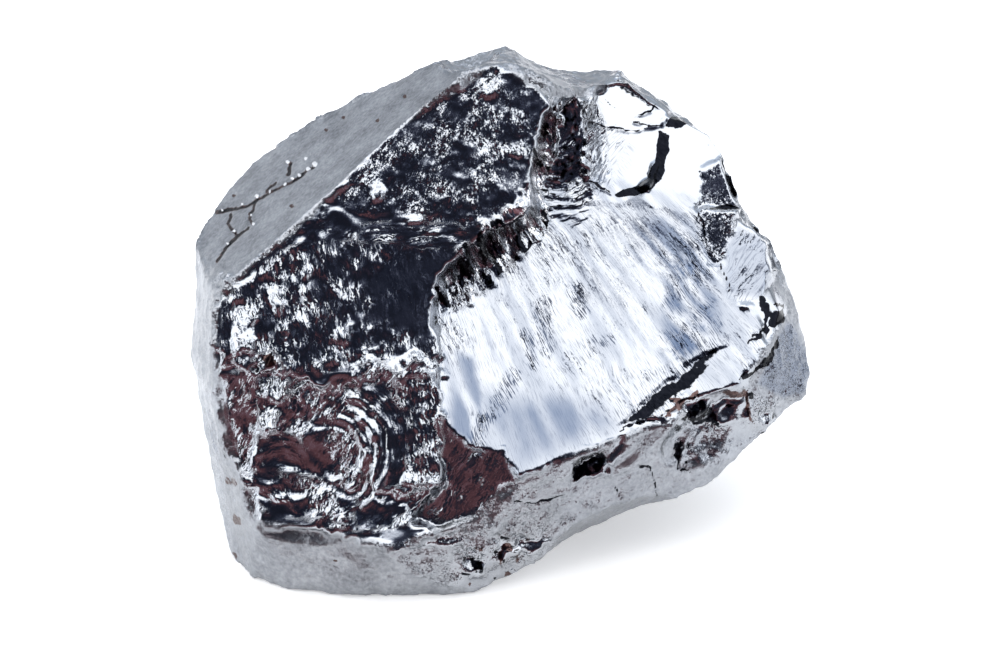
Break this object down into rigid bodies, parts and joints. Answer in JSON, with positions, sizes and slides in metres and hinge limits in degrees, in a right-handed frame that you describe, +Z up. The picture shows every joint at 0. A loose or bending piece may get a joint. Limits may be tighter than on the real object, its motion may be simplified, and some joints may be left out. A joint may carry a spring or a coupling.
{
  "type": "raw silicon chunk",
  "caption": "Rough-broken lump of raw silicon with a mirror-bright shell-fractured front face and one matte cast side, standing on a flat underside.",
  "frame": {"origin": "on the flat underside that the lump stands on, below its middle", "axes": "+Z up, +X to the right along the broken front face, which looks towards -Y and leans back"},
  "size_m": [0.091, 0.0642, 0.0677],
  "materials": {
    "silicon": "polished"
  },
  "bodies": {
    "root": {"silicon_chunk": "silicon"}
  },
  "joints": []
}
